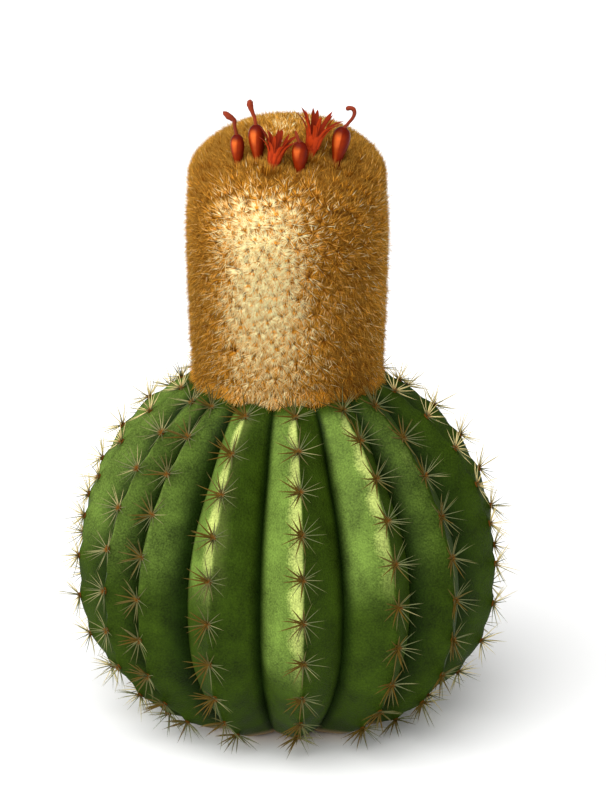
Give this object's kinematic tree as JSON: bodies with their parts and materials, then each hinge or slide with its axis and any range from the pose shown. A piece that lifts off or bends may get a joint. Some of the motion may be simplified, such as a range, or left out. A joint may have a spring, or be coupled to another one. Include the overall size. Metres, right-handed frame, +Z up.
{
  "type": "turks cap cactus",
  "caption": "Ribbed globe cactus with starry spines and a tall bristly woolly cap, with red fruits and flowers standing in its crown, free-standing without a pot.",
  "frame": {"origin": "centre of the flat root crown that the plant rests on", "axes": "+Z up through the middle of the cap; the front, with the fruits and flowers, faces -Y; +X is to the right seen from the front"},
  "size_m": [0.2653, 0.2676, 0.377],
  "materials": {
    "stem": "waxy green skin, finely stippled, paler along the crests",
    "spine": "dry reddish brown spines with grey tips",
    "wool": "dense golden brown bristles with cream tips",
    "fruit": "glossy taut red skin",
    "flower": "soft satin orange-red petals"
  },
  "bodies": {
    "root": {"stem": "stem", "cephalium": "wool", "fruit_far_left": "fruit", "fruit_left": "fruit", "fruit_middle": "fruit", "fruit_right": "fruit", "flower_left": "flower", "flower_right": "flower"}
  },
  "joints": []
}
